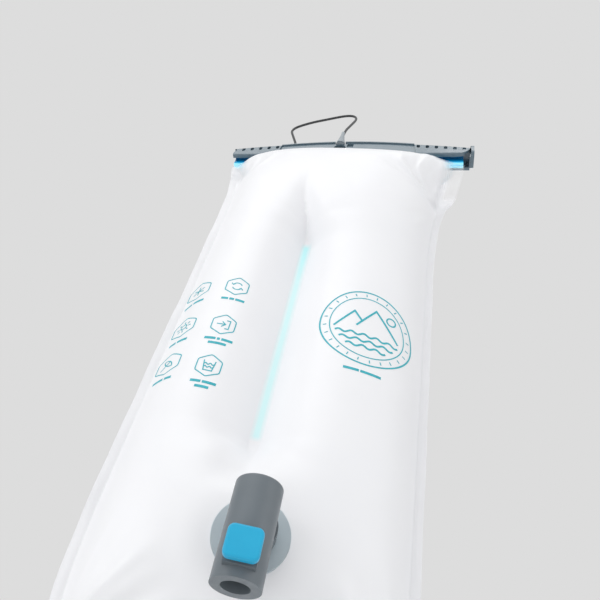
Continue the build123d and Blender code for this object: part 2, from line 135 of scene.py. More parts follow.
def ramp(tree, source, low, high, dark, light):
    """Colours dark to light as source goes from low to high."""
    node = tree.nodes.new("ShaderNodeValToRGB")
    node.color_ramp.elements[0].position = low
    node.color_ramp.elements[0].color = (*dark, 1)
    node.color_ramp.elements[1].position = high
    node.color_ramp.elements[1].color = (*light, 1)
    tree.links.new(source, node.inputs["Fac"])
    return node.outputs["Color"]


def remap(tree, source, low, high, start, end):
    node = tree.nodes.new("ShaderNodeMapRange")
    for socket, value in zip(node.inputs[1:5], (low, high, start, end)):
        socket.default_value = value
    tree.links.new(source, node.inputs["Value"])
    return node.outputs["Result"]


def bump(tree, height, strength, distance, before=None):
    node = add(tree, "ShaderNodeBump", Strength=strength, Distance=distance)
    tree.links.new(height, node.inputs["Height"])
    if before is not None:
        tree.links.new(before, node.inputs["Normal"])
    return node.outputs["Normal"]


# spark-eroded grain: its scale, and how strong and deep its bump is
GRAIN = 2600
GRAIN_STRENGTH = 0.12
GRAIN_DEPTH = 0.0002


def moulded(name, colour, light, rough=0.4, transmission=0.0, coat=0.0):
    """Moulded plastic: fine spark-eroded grain, slow colour drift and rough patches from handling."""
    material, tree, shader = new_material(name)
    place = object_coordinates(tree)
    drift = noise(tree, place, 38, 4)
    tree.links.new(ramp(tree, drift, 0.32, 0.68, colour, light), shader.inputs["Base Color"])
    worn = noise(tree, place, 160, 6, 0.6)
    tree.links.new(remap(tree, worn, 0.35, 0.7, rough - 0.06, rough + 0.08), shader.inputs["Roughness"])
    fine = noise(tree, place, GRAIN, 2)
    tree.links.new(bump(tree, fine, GRAIN_STRENGTH, GRAIN_DEPTH), shader.inputs["Normal"])
    shader.inputs["Transmission Weight"].default_value = transmission
    shader.inputs["Coat Weight"].default_value = coat
    shader.inputs["Coat Roughness"].default_value = 0.16
    return material


# ---------------------------------------------------------------- hang cord
CORD_DIAMETER = 0.002
CORD_ROUTE = [
    (-0.0055, -0.0066, 0.0070),
    (-0.0053, -0.0063, 0.0240),
    (-0.0013, -0.0028, 0.0425),
    (0.0017, -0.0004, 0.0568),
    (-0.0019, 0.0, 0.0631),
    (-0.0095, -0.0002, 0.0630),
    (-0.0220, -0.0010, 0.0565),
    (-0.0385, -0.0022, 0.0475),
    (-0.0522, -0.0034, 0.0350),
    (-0.0470, -0.0040, 0.0200),
    (-0.0420, -0.0040, 0.0065),
    (-0.0420, -0.0040, -0.0041),
]

curve = bpy.data.curves.new("hang_cord_line", "CURVE")
curve.dimensions = "3D"
curve.bevel_depth = CORD_DIAMETER / 2
curve.bevel_resolution = 5
curve.resolution_u = 24
curve.use_fill_caps = True
spline = curve.splines.new("NURBS")
spline.points.add(len(CORD_ROUTE) - 1)
for point, place in zip(spline.points, CORD_ROUTE):
    point.co = (*rail_point(*place), 1)
spline.order_u = 3
spline.use_endpoint_u = True
cord = bpy.data.objects.new("cord_braid", curve)
scene.collection.objects.link(cord)


def braided(name, dark, light):
    """Fine round braid: two sets of slanted strands, from the place along and around the cord."""
    material, tree, shader = new_material(name)
    place = object_coordinates(tree)
    strands = []
    for slant in (1, -1):
        wave = add(tree, "ShaderNodeTexWave", Scale=420, Distortion=0.6, bands_direction="DIAGONAL")
        turn = add(tree, "ShaderNodeMapping", Scale=(slant, 1, 0.8))
        tree.links.new(place, turn.inputs["Vector"])
        tree.links.new(turn.outputs["Vector"], wave.inputs["Vector"])
        strands.append(wave.outputs["Fac"])
    over = calculate(tree, "MAXIMUM", *strands)
    tree.links.new(ramp(tree, over, 0.25, 0.9, dark, light), shader.inputs["Base Color"])
    tree.links.new(bump(tree, over, 0.7, 0.0002), shader.inputs["Normal"])
    shader.inputs["Roughness"].default_value = 0.75
    shader.inputs["Sheen Weight"].default_value = 0.3
    return material


cord_material = braided("cord_braid", (0.010, 0.011, 0.012), (0.040, 0.043, 0.047))
curve.materials.append(cord_material)
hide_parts("hang_cord")
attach(cord, "closure_rail")

# ---------------------------------------------------------------- the film's shape
FILM = 0.8
WELD = 4.6
WELD_SOFTNESS = 5.5
# the film thins to this share of itself over this width at its cut edge
CUT_SHARE = 0.4
CUT_WIDTH = 3.0
# the crease between the lobes: at its top it has these shares of its width, and leans to the left
VALLEY_X = -11.9
VALLEY_FLAT = 2.3
VALLEY_LEFT_WIDTH = 17.5
VALLEY_RIGHT_WIDTH = 13.0
VALLEY_LEFT_SHARE = 0.55
VALLEY_RIGHT_SHARE = 0.38
VALLEY_OPEN_DROPS = (70, 175)
VALLEY_POWER = 1.3
VALLEY_LEAN = 9.0
LEAN_TOP = 84
# the fused line of the baffle, where its flat begins above it and ends below it, and the width
# around it that small folds stay out of
BAFFLE_TOP = 133.0
BAFFLE_LOW = 278.0
FLAT_DROPS = (118, BAFFLE_TOP, BAFFLE_LOW, 292)
BAFFLE_CALM = 6.0
# where the film leaves the rail, its lower cut, and the radius of its lower corners
MOUTH_DROP = 17.3
BASE_DROP = 386.0
BASE_CORNER = 9.0
# drop, left and right half width, bulge, valley, share of the rail's turn, squareness
FILM_LEVELS = np.array([
    (17.3, 90.0, 90.3, 3.0, 3.0, 1.0, 16.0),
    (19.5, 89.8, 90.1, 11.3, 11.3, 0.98, 4.7),
    (22.0, 89.5, 89.8, 16.5, 16.5, 0.95, 3.4),
    (26.0, 88.8, 89.1, 20.6, 20.6, 0.9, 2.8),
    (31.0, 87.8, 88.4, 23.6, 23.6, 0.82, 2.5),
    (40.0, 85.5, 86.6, 26.0, 26.0, 0.68, 2.3),
    (53.0, 81.8, 83.6, 27.0, 27.0, 0.44, 2.2),
    (62.0, 80.2, 77.8, 27.5, 26.8, 0.32, 2.2),
    (80.0, 77.8, 74.6, 28.0, 24.5, 0.15, 2.3),
    (108.0, 76.8, 73.0, 28.0, 15.5, 0.0, 2.3),
    (130.0, 76.8, 72.6, 28.0, 6.5, 0.0, 2.3),
    (280.0, 78.0, 72.6, 28.0, 6.5, 0.0, 2.3),
    (300.0, 78.0, 72.6, 28.0, 18.0, 0.0, 2.3),
    (322.0, 78.0, 72.6, 27.5, 26.0, 0.0, 2.3),
    (344.0, 77.5, 72.3, 26.5, 26.5, 0.0, 2.4),
    (358.0, 76.5, 71.5, 22.5, 22.5, 0.0, 2.6),
    (370.0, 74.5, 69.5, 14.5, 14.5, 0.0, 3.2),
    (377.0, 72.5, 67.5, 6.5, 6.5, 0.0, 5.0),
    (380.0, 71.5, 66.5, 0.9, 0.9, 0.0, 16.0),
    (386.0, 70.0, 65.0, 0.9, 0.9, 0.0, 16.0),
])
# the outlet, and how far outside the flange the film stays flat and then joins its own shape
PORT_X = -2.0
PORT_DROP = 333.0
FLANGE_RADIUS = 16.0
FLANGE_SEAT = 26.6
SEAT_FLAT = 1.0
SEAT_REACH = 17.0
# the ears: the flat width that each adds, and the drops between which it grows and then narrows
LEFT_EAR, LEFT_EAR_DROPS = 4.0, (24, 40, 42, 76)
RIGHT_EAR, RIGHT_EAR_DROPS = 11.0, (24, 42, 46, 68)
# puckers that run in from the side welds: height, reach and drops
PUCKER, PUCKER_REACH, PUCKER_DROPS = 0.45, 16.0, (30, 60, 355, 374)
# waves of the flat margins, which are higher at the right ear
SWAY, SWAY_DROPS = 0.55, (22, 40, 368, 384)
EAR_SWAY, EAR_SWAY_DROPS = 1.3, (26, 44, 60, 92)


def smoothstep(value, low, high):
    t = np.clip((value - low) / (high - low), 0, 1)
    return t * t * (3 - 2 * t)


def plateau(value, start, full, fading, gone):
    """0 up to start, 1 from full to fading, and 0 from gone on."""
    return smoothstep(value, start, full) * (1 - smoothstep(value, fading, gone))


def steady(x, y, at):
    """Monotone cubic through the points (x, y), read at the places at."""
    step = np.diff(x)
    slope = np.diff(y) / step
    tangent = np.zeros(len(x))
    tangent[0], tangent[-1] = slope[0], slope[-1]
    for i in range(1, len(x) - 1):
        if slope[i - 1] * slope[i] > 0:
            w1, w2 = 2 * step[i] + step[i - 1], step[i] + 2 * step[i - 1]
            tangent[i] = (w1 + w2) / (w1 / slope[i - 1] + w2 / slope[i])
    i = np.clip(np.searchsorted(x, at) - 1, 0, len(x) - 2)
    t = (at - x[i]) / step[i]
    a, b = y[i], y[i + 1]
    return ((1 + 2 * t) * (1 - t) ** 2 * a + t * (1 - t) ** 2 * step[i] * tangent[i]
            + t * t * (3 - 2 * t) * b + t * t * (t - 1) * step[i] * tangent[i + 1])


def level_values(drop):
    """Left, right, bulge, valley, turn and squareness at each drop."""
    at = np.clip(drop, MOUTH_DROP, BASE_DROP)
    left, right, bulge, valley, turn, power = (
        steady(FILM_LEVELS[:, 0], FILM_LEVELS[:, k], at) for k in range(1, 7))
    return left, right, bulge, valley, turn * RAIL_TURN, power


# fans of folds: side, drop they start from, way they run (down 1, up -1), folds per turn,
# height, reach, and the angles from across the bag between which they lie
FOLD_FANS = (
    (1, 68.0, -1, 19.0, 1.0, 62.0, 0.62, 1.25),
    (1, 66.0, 1, 13.0, 0.4, 42.0, 0.9, 1.5),
    (-1, 74.0, -1, 17.0, 0.7, 60.0, 0.85, 1.5),
    (1, 380.0, -1, 11.0, 1.3, 58.0, 0.25, 1.3),
    (-1, 380.0, -1, 11.0, 1.3, 58.0, 0.25, 1.3),
)
# stars of folds round the ends of the fused baffle line: drop, way they run, height, reach
FOLD_STARS = ((BAFFLE_LOW + 2.0, 1, 0.7, 42.0), (BAFFLE_TOP - 14.0, -1, 0.35, 40.0))


def creases(x, drop, low, high, side):
    """Small folds of the film, outward from its smooth shape, in millimetres."""
    total = np.zeros_like(x)
    for edge, sign, phase in ((low, 1, 0.4), (high, -1, 2.1)):
        inward = np.maximum((x - edge) * sign, 0)
        reach = np.exp(-(inward / PUCKER_REACH) ** 1.4) * smoothstep(inward, 0, 6)
        wave = (np.sin(drop / 4.3 + phase + 1.7 * np.sin(drop / 31.0 + side))
                + 0.6 * np.sin(drop / 7.9 + 2.3 * phase + side))
        total += PUCKER * reach * wave * plateau(drop, *PUCKER_DROPS)
    for hand, start, way, count, height, reach_length, first, last in FOLD_FANS:
        edge = high if hand > 0 else low
        across = np.maximum((edge - x) * hand, 0) + 0.5
        along = np.maximum((drop - start) * way, 0)
        reach = np.hypot(across, along)
        angle = np.arctan2(along, across)
        fade = (plateau(reach, 6, 22, 0.6 * reach_length, reach_length)
                * plateau(angle, first - 0.25, first + 0.1, last - 0.1, last + 0.15)
                * smoothstep(across, 1, 6))
        total += height * fade * (np.sin(count * angle + 0.9 * side)
                                  + 0.35 * np.sin(2.3 * count * angle + 1.3 * side))
    for start, way, height, reach_length in FOLD_STARS:
        across = x - VALLEY_X
        along = (drop - start) * way
        reach = np.hypot(across, along)
        angle = np.arctan2(across, along)
        fade = (plateau(reach, 5, 16, 0.5 * reach_length, reach_length)
                * (1 - smoothstep(np.abs(angle), 1.0, 1.5)))
        total += height * fade * np.sin(5.0 * angle + 0.7 * side)
    return total


def margins(drop, inner):
    """Flat width outside the bulge on the left and right: the weld, and the ears under the rail."""
    edge = WELD + (FILM if inner else 0)
    left_ear = LEFT_EAR * plateau(drop, *LEFT_EAR_DROPS)
    right_ear = RIGHT_EAR * plateau(drop, *RIGHT_EAR_DROPS)
    return edge + left_ear, edge + right_ear


def film_depths(x, drop, side, inner):
    """How far the film's outer or inner face stands from the middle plane."""
    left, right, bulge, valley, _, power = level_values(drop)
    left_margin, right_margin = margins(drop, inner)
    low, high = left_margin - left, right - right_margin
    middle, half = (low + high) / 2, (high - low) / 2
    t = np.clip(np.abs((x - middle) / half), 0, 1)
    inward = half * (1 - t)
    soft = 1 - np.exp(-inward / WELD_SOFTNESS) * smoothstep(bulge, 3, 12)
    lens = (bulge - FILM) * np.sqrt(np.maximum(1 - t ** power, 0)) * soft
    floor = valley - FILM
    from_valley = x - VALLEY_X + VALLEY_LEAN * (1 - smoothstep(drop, LEAN_TOP, BAFFLE_TOP))
    flat = VALLEY_FLAT * plateau(drop, *FLAT_DROPS)
    open_up = smoothstep(drop, *VALLEY_OPEN_DROPS)
    left_width = VALLEY_LEFT_WIDTH * (VALLEY_LEFT_SHARE + (1 - VALLEY_LEFT_SHARE) * open_up)
    right_width = VALLEY_RIGHT_WIDTH * (VALLEY_RIGHT_SHARE + (1 - VALLEY_RIGHT_SHARE) * open_up)
    width = np.where(from_valley < 0, left_width, right_width)
    away = np.maximum(np.abs(from_valley) - flat, 0) / width
    dip = np.maximum(lens - floor, 0) * np.exp(-away ** VALLEY_POWER)
    depth = lens - dip
    inside = 1 - t ** 12
    room = smoothstep(lens, 4, 12)
    near_baffle = np.exp(-((x - VALLEY_X) / BAFFLE_CALM) ** 2)
    depth = depth + creases(x, drop, low, high, side) * inside * room * (1 - near_baffle)
    if side < 0:
        distance = np.hypot(x - PORT_X, drop - PORT_DROP)
        seat = 1 - smoothstep(distance, FLANGE_RADIUS + SEAT_FLAT, FLANGE_RADIUS + SEAT_REACH)
        depth = depth + seat * (FLANGE_SEAT - FILM - depth)
    if inner:
        return depth
    to_cut = np.minimum(x + left, right - x)
    return depth + FILM * (CUT_SHARE + (1 - CUT_SHARE) * smoothstep(to_cut, 0, CUT_WIDTH))


def sway(x, drop):
    """Waves of the flat margins, where both films move together."""
    left, right = level_values(drop)[:2]
    left_margin, right_margin = margins(drop, False)
    on_left = smoothstep(-x, left - left_margin, left)
    on_right = smoothstep(x, right - right_margin, right)
    slow = np.sin(drop / 13.0) + 0.6 * np.sin(drop / 5.9 + 1.1)
    right_sway = SWAY + EAR_SWAY * plateau(drop, *EAR_SWAY_DROPS)
    waves = SWAY * on_left * slow + right_sway * on_right * np.sin(drop / 9.0 + 0.6 * slow)
    return plateau(drop, *SWAY_DROPS) * waves


def film_place(x, drop, depth, side):
    """Row-frame places, in metres, of points on or off the film."""
    angle = level_values(drop)[4]
    y = side * depth + sway(x, drop)
    return np.stack([RAIL_SHIFT + x * np.cos(angle) + y * np.sin(angle),
                     y * np.cos(angle) - x * np.sin(angle),
                     -HANG_HEIGHT - drop], -1) * MM


def film_half_widths(drop):
    """The cut's left and right edges, with the base's rounded corners."""
    left, right = level_values(drop)[:2]
    into = np.clip(drop - (BASE_DROP - BASE_CORNER), 0, BASE_CORNER)
    corner = BASE_CORNER - np.sqrt(np.maximum(BASE_CORNER ** 2 - into ** 2, 0))
    return left - corner, right - corner


# runs of the mesh's rows: first drop, last drop, number of rows
ROW_RUNS = ((MOUTH_DROP, 31, 22), (31, 130, 66), (130, 280, 76), (280, 358, 56), (358, BASE_DROP, 27))
# the mesh's columns: over the whole bulge, and at these distances from the baffle's line, with a
# gap between the two kinds; the half width is read at one drop
BULGE_COLUMNS = 131
BAFFLE_COLUMNS = np.array([-6.5, -4.5, -3.4, -2.8, -2.3, -1.8, 0, 1.8, 2.3, 2.8, 3.4, 4.5, 6.5])
COLUMN_GAP = 0.008
COLUMN_DROP = 200.0
# places of the columns across the left and the right margin
LEFT_SHARES = np.array([[0, 0.15, 0.3, 0.45, 0.6, 0.75, 0.9]])
RIGHT_SHARES = np.array([[0.2, 0.35, 0.5, 0.65, 0.8, 0.95, 1]])


def film_rows():
    runs = [np.linspace(first, last, count)[:-1] for first, last, count in ROW_RUNS]
    return np.concatenate(runs + [[BASE_DROP]])


def film_columns():
    """Places between the margins, -1 to 1: bunched at the margins and at the baffle's flat."""
    spread = np.sin(np.linspace(-1, 1, BULGE_COLUMNS) * math.pi / 2)
    left, right = level_values(np.array([COLUMN_DROP]))[:2]
    half = (left[0] + right[0]) / 2 - WELD
    middle = (right[0] - left[0]) / 2
    near = (VALLEY_X + BAFFLE_COLUMNS - middle) / half
    kept = spread[(spread < near[0] - COLUMN_GAP) | (spread > near[-1] + COLUMN_GAP)]
    return np.sort(np.concatenate([kept, near]))


# how clear the film is where its two panels are fused or lie over the lips, 0 to 1
CLEAR_WELD, CLEAR_BASE, CLEAR_MOUTH = 0.14, 0.45, 0.9
CLEAR_LEFT_EAR, CLEAR_RIGHT_EAR = 0.6, 1.0
# milky and clear distances from the cut's edge, then the drops where each ear turns milky again
LEFT_EAR_CLEARS, LEFT_EAR_ENDS = (16, 8), (36, 66)
RIGHT_EAR_CLEARS, RIGHT_EAR_ENDS = (17, 7), (46, 66)
# the clear corners of the mouth: distances from the rail's middle, and drops where they end
MOUTH_CLEARS, MOUTH_ENDS = (55, 75), (20, 27)
BASE_CLEARS = (379, 381)


def film_clearness(x, drop):
    """How clear the film is: more where both films are fused, at the ears and over the lips."""
    left, right = level_values(drop)[:2]

    def beside(edge, across, milky, clear):
        return smoothstep(across, edge - milky, edge - clear)

    weld = np.maximum(beside(right, x, WELD + 1, WELD), beside(left, -x, WELD + 1, WELD))
    right_ear = beside(right, x, *RIGHT_EAR_CLEARS) * (1 - smoothstep(drop, *RIGHT_EAR_ENDS))
    left_ear = beside(left, -x, *LEFT_EAR_CLEARS) * (1 - smoothstep(drop, *LEFT_EAR_ENDS))
    mouth = smoothstep(np.abs(x), *MOUTH_CLEARS) * (1 - smoothstep(drop, *MOUTH_ENDS))
    base = smoothstep(drop, *BASE_CLEARS)
    return np.maximum.reduce([CLEAR_WELD * weld, CLEAR_RIGHT_EAR * right_ear, CLEAR_LEFT_EAR * left_ear,
                              CLEAR_MOUTH * mouth, CLEAR_BASE * base])


def mesh_object(name, vertices, faces, smooth=True):
    mesh = bpy.data.meshes.new(name)
    mesh.from_pydata([tuple(v) for v in vertices], [], faces)
    mesh.validate()
    mesh.polygons.foreach_set("use_smooth", [smooth] * len(mesh.polygons))
    made = bpy.data.objects.new(name, mesh)
    scene.collection.objects.link(made)
    return made


def face_outward(mesh):
    bm = bmesh.new()
    bm.from_mesh(mesh)
    bmesh.ops.recalc_face_normals(bm, faces=bm.faces)
    bm.to_mesh(mesh)
    bm.free()


def film_panel(name, side):
    """One film panel: outer and inner face, joined round the cut's edge."""
    rows = film_rows()
    bunched = film_columns()
    left, right = film_half_widths(rows)
    count = LEFT_SHARES.size + bunched.size + RIGHT_SHARES.size
    vertices, clear = [], []
    for inner in (False, True):
        left_margin, right_margin = margins(rows, inner)
        low, high = left_margin - left, right - right_margin
        flat_left = -left[:, None] + (low + left)[:, None] * LEFT_SHARES
        bulged = (low + high)[:, None] / 2 + (high - low)[:, None] / 2 * bunched[None, :]
        flat_right = high[:, None] + (right - high)[:, None] * RIGHT_SHARES
        x = np.concatenate([flat_left, bulged, flat_right], 1).ravel()
        drop = np.repeat(rows, count)
        vertices.append(film_place(x, drop, film_depths(x, drop, side, inner), side))
        clear.append(film_clearness(x, drop))
    total = len(rows)
    shift = total * count
    faces = []
    for r in range(total - 1):
        for c in range(count - 1):
            a = r * count + c
            quad = (a, a + 1, a + count + 1, a + count)
            faces.append(quad)
            faces.append(tuple(shift + k for k in reversed(quad)))
    border = (list(range(count)) + [r * count + count - 1 for r in range(1, total)]
              + [(total - 1) * count + c for c in range(count - 2, -1, -1)]
              + [r * count for r in range(total - 2, 0, -1)])
    for a, b in zip(border, border[1:] + border[:1]):
        faces.append((b, a, shift + a, shift + b))
    if side > 0:
        faces = [tuple(reversed(face)) for face in faces]
    panel = mesh_object(name, np.concatenate(vertices), faces)
    layer = panel.data.attributes.new("clearness", "FLOAT", "POINT")
    layer.data.foreach_set("value", np.concatenate(clear).astype(np.float32))
    return panel


def apply_modifiers(obj):
    depsgraph = bpy.context.evaluated_depsgraph_get()
    made = bpy.data.meshes.new_from_object(obj.evaluated_get(depsgraph))
    obj.modifiers.clear()
    obj.data = made


# the cutter of the port's hole, which reaches through the front film only
PORT_PLAY = 0.05
CUTTER_LENGTH = 0.06
CUTTER_Y = -0.034


def port_hole(panel):
    """Cuts the flange's hole in the front panel."""
    radius = (FLANGE_RADIUS + PORT_PLAY) * MM
    bm = bmesh.new()
    bmesh.ops.create_cone(bm, cap_ends=True, segments=96, radius1=radius, radius2=radius,
                          depth=CUTTER_LENGTH)
    mesh = bpy.data.meshes.new("port_cutter")
    bm.to_mesh(mesh)
    bm.free()
    cutter = bpy.data.objects.new("port_cutter", mesh)
    scene.collection.objects.link(cutter)
    cutter.location = ((RAIL_SHIFT + PORT_X) * MM, CUTTER_Y, z_at(PORT_DROP))
    cutter.rotation_euler = (math.pi / 2, 0, 0)
    cut = panel.modifiers.new("cut", "BOOLEAN")
    cut.operation = "DIFFERENCE"
    cut.solver = "EXACT"
    cut.object = cutter
    bpy.context.view_layer.update()
    apply_modifiers(panel)
    bpy.data.objects.remove(cutter)


# the tinted line: distances from its middle where it is full and gone, drops where it is gone and
# full at its top and at its foot, and drops between which its tint deepens
LINE_FADES = (0.8 * MM, 3.4 * MM)
LINE_TOP_DROPS = (BAFFLE_TOP - 6.5, BAFFLE_TOP - 2.5)
LINE_FOOT_DROPS = (BAFFLE_LOW, BAFFLE_LOW - 3.0)
TINT_DROPS = (163.0, 138.0)


def film_material():
    """Frosted film: milky, softly glossy, clearer along the welds, tinted where the baffle is fused."""
    material, tree, shader = new_material("frosted_film")
    place = object_coordinates(tree)
    place_x, place_z = place_axes(tree, place)
    cloud = noise(tree, place, 22, 3)
    body = ramp(tree, cloud, 0.3, 0.7, (0.932, 0.938, 0.964), (0.950, 0.955, 0.978))
    off = calculate(tree, "SUBTRACT", place_x, (RAIL_SHIFT + VALLEY_X) * MM)
    line = remap(tree, calculate(tree, "ABSOLUTE", off), *LINE_FADES, 1.0, 0.0)
    for drops in (LINE_TOP_DROPS, LINE_FOOT_DROPS):
        part = remap(tree, place_z, *map(z_at, drops), 0.0, 1.0)
        line = calculate(tree, "MULTIPLY", line, part)
    up_the_line = remap(tree, place_z, *map(z_at, TINT_DROPS), 0.0, 1.0)
    tint = ramp(tree, up_the_line, 0, 1, (0.71, 0.985, 1.0), (0.56, 0.97, 1.0))
    mix = add(tree, "ShaderNodeMix", data_type="RGBA")
    tree.links.new(line, mix.inputs["Factor"])
    tree.links.new(body, mix.inputs["A"])
    tree.links.new(tint, mix.inputs["B"])
    tree.links.new(mix.outputs["Result"], shader.inputs["Base Color"])
    rough = noise(tree, place, 90, 5, 0.6)
    tree.links.new(remap(tree, rough, 0.3, 0.7, 0.34, 0.46), shader.inputs["Roughness"])
    fine = noise(tree, place, 1500, 2)
    soft = noise(tree, place, 60, 3)
    relief = bump(tree, fine, 0.05, 0.0002)
    tree.links.new(bump(tree, soft, 0.12, 0.0006, relief), shader.inputs["Normal"])
    clear = add(tree, "ShaderNodeAttribute", attribute_name="clearness")
    tree.links.new(remap(tree, clear.outputs["Fac"], 0, 1, 0.97, 0.07), shader.inputs["Alpha"])
    shader.inputs["IOR"].default_value = 1.45
    shader.inputs["Transmission Weight"].default_value = 0.04
    shader.inputs["Coat Weight"].default_value = 0.15
    shader.inputs["Coat Roughness"].default_value = 0.25
    return material


film_look = film_material()
front_film = film_panel("front_film", -1)
port_hole(front_film)
back_film = film_panel("back_film", 1)
for panel, node in ((front_film, "front_panel"), (back_film, "back_panel")):
    panel.data.set_sharp_from_angle(angle=math.radians(50))
    panel.data.materials.clear()
    panel.data.materials.append(film_look)
    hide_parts(node)
    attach(panel, "bag")

# ---------------------------------------------------------------- printed marks
PRINT_STEP = 0.7
PRINT_LOW = 0.02
PRINT_HIGH = 0.14
FINE = 0.55
MEDIUM = 0.8
BOLD = 1.1
BAR_HEIGHT = 1.5
BAR_GAP = 0.8
CORNER_SHARE = 0.13


def arc(cx, cy, radius, start, end):
    """Points along an arc; angles are in degrees."""
    turns = np.radians(np.linspace(start, end, max(int(radius * abs(end - start) / 30), 6)))
    return np.stack([cx + radius * np.cos(turns), cy + radius * np.sin(turns)], -1)


def wave(y, width, height, count):
    x = np.linspace(-width / 2, width / 2, 16 * count)
    return np.stack([x, y + height * np.sin((x / width + 0.5) * 2 * math.pi * count)], -1)


def hexagon(width, height):
    """Six sides with rounded corners."""
    turns = np.radians(np.arange(90, 450, 60))
    across = width / 2 / math.cos(math.radians(30))
    corners = np.stack([across * np.cos(turns), height / 2 * np.sin(turns)], -1)
    points = []
    for before, corner, after in zip(np.roll(corners, 1, 0), corners, np.roll(corners, -1, 0)):
        start, end = corner + CORNER_SHARE * (before - corner), corner + CORNER_SHARE * (after - corner)
        for t in (0, 0.25, 0.5, 0.75, 1):
            points.append((1 - t) ** 2 * start + 2 * t * (1 - t) * corner + t * t * end)
    return np.array(points)


def bar_row(y, width, shares):
    """A row of plain bars with the given shares of its width."""
    room = width - BAR_GAP * (len(shares) - 1)
    strokes, start = [], -width / 2
    for share in shares:
        length = room * share / sum(shares)
        strokes.append(([(start, y), (start + length, y)], BAR_HEIGHT, False))
        start += length + BAR_GAP
    return strokes


def ribbon(points, width, closed):
    """Stations along a stroke, at most PRINT_STEP apart, as its left and right side."""
    points = np.array(points, float)
    ends = np.concatenate([points, points[:1]]) if closed else points
    line = [ends[0]]
    for start, end in zip(ends, ends[1:]):
        pieces = max(math.ceil(np.linalg.norm(end - start) / PRINT_STEP), 1)
        line += [start + (end - start) * k / pieces for k in range(1, pieces + 1)]
    line = np.array(line)
    runs = np.diff(line, axis=0)
    runs /= np.linalg.norm(runs, axis=1)[:, None]
    if closed:
        line = line[:-1]
        before, after = np.roll(runs, 1, 0), runs
    else:
        before, after = np.concatenate([runs[:1], runs]), np.concatenate([runs, runs[-1:]])
    along = before + after
    along /= np.linalg.norm(along, axis=1)[:, None]
    mitre = 1 / np.maximum((along * after).sum(1), 0.5)
    across = np.stack([-along[:, 1], along[:, 0]], -1) * (mitre * width / 2)[:, None]
    return line + across, line - across


def printed(name, marks, look):
    """Thin raised ink on the front film; a mark is its centre's x and drop, and its strokes."""
    vertices, faces = [], []
    for centre_x, centre_drop, strokes in marks:
        for points, width, closed in strokes:
            sides = ribbon(points, width, closed)
            start, count = len(vertices), len(sides[0])
            corners = []
            for place in sides:
                x, drop = centre_x + place[:, 0], centre_drop - place[:, 1]
                depth = film_depths(x, drop, -1, False)
                corners += [film_place(x, drop, depth + lift, -1) for lift in (PRINT_LOW, PRINT_HIGH)]
            # round each station: left low, left high, right high, right low
            ring = np.stack([corners[0], corners[1], corners[3], corners[2]], 1)
            vertices += list(ring.reshape(-1, 3))
            for i in range(count if closed else count - 1):
                a, b = start + 4 * i, start + 4 * ((i + 1) % count)
                faces += [(a + k, a + (k + 1) % 4, b + (k + 1) % 4, b + k) for k in range(4)]
            if not closed:
                end = start + 4 * (count - 1)
                faces += [(start + 3, start + 2, start + 1, start), (end, end + 1, end + 2, end + 3)]
    made = mesh_object(name, vertices, faces, smooth=False)
    face_outward(made.data)
    made.data.materials.append(look)
    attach(made, "bag")
    return made


def fine(*lines):
    return [(points, FINE, False) for points in lines]


def rays(start, end, angles):
    """Lines between two distances from the centre; angles are in degrees."""
    return [[(r * math.cos(a), r * math.sin(a)) for r in (start, end)] for a in np.radians(angles)]


frame_mark = [(hexagon(12.5, 14.0), FINE, True)]
turning = fine(arc(0, 0, 2.7, 25, 155), arc(0, 0, 2.7, 205, 335),
               [(-3.6, 2.2), (-2.5, 1.0), (-1.4, 2.0)], [(3.6, -2.2), (2.5, -1.0), (1.4, -2.0)])
joining = fine([(-3.6, 0), (1.0, 0)], [(-0.9, 1.8), (1.1, 0), (-0.9, -1.8)],
               [(1.2, 2.9), (3.2, 2.9), (3.2, -2.9), (1.2, -2.9)])
cup = fine([(-3.0, 3.0), (-2.2, -3.2), (2.2, -3.2), (3.0, 3.0)],
           wave(0.9, 5.0, 0.45, 2), wave(-1.0, 4.4, 0.4, 2))
frost = fine(*rays(3.4, -3.4, (30, 90, 150)))
sun = [(arc(0, 0, 1.6, 0, 340), FINE, True)] + fine(*rays(2.5, 3.9, range(0, 360, 45)))
leaf = fine(arc(-2.2, -2.2, 4.6, 0, 90), arc(2.4, 2.4, 4.6, 180, 270), [(-3.2, -3.2), (1.2, 1.2)])
one_row = bar_row(-10.5, 13.0, (3, 2, 4))
two_rows = bar_row(-10.4, 15.0, (4, 1, 4)) + bar_row(-13.4, 9.5, (1,))
ICONS = [
    (-42.7, 191.3, frame_mark + turning + one_row),
    (-42.7, 221.4, frame_mark + joining + two_rows),
    (-42.7, 250.0, frame_mark + cup + bar_row(-10.4, 13.0, (3, 4)) + bar_row(-13.4, 7.0, (1,))),
    (-65.0, 191.0, frame_mark + frost + bar_row(-10.5, 11.0, (3, 4))),
    (-65.0, 220.5, frame_mark + sun + bar_row(-10.5, 10.0, (2, 3))),
    (-65.0, 247.0, frame_mark + leaf + bar_row(-10.5, 10.0, (3, 2))),
]
rings = [(arc(0, 0, 26.0, 0, 356), MEDIUM, True), (arc(0, 0, 21.0, 0, 356), FINE, True)]
ticks = fine(*rays(22.6, 24.4, np.arange(7.5, 360, 15)))
peaks = [([(-18.5, -3.5), (-8.5, 9.5), (-3.6, 3.2)], BOLD, False),
         ([(-6.5, -0.6), (3.5, 13.5), (17.5, -3.5)], BOLD, False)]
small_sun = [(arc(12.5, 10.0, 2.6, 0, 345), MEDIUM, True)]
waves = [(wave(y, width, 0.8, count), BOLD, False)
         for y, width, count in ((-6.5, 35.0, 5), (-10.5, 30.0, 4), (-14.5, 22.0, 3))]
BADGE = [(33.0, 206.0, rings + ticks + peaks + small_sun + waves + bar_row(-31.0, 20.0, (3, 4)))]


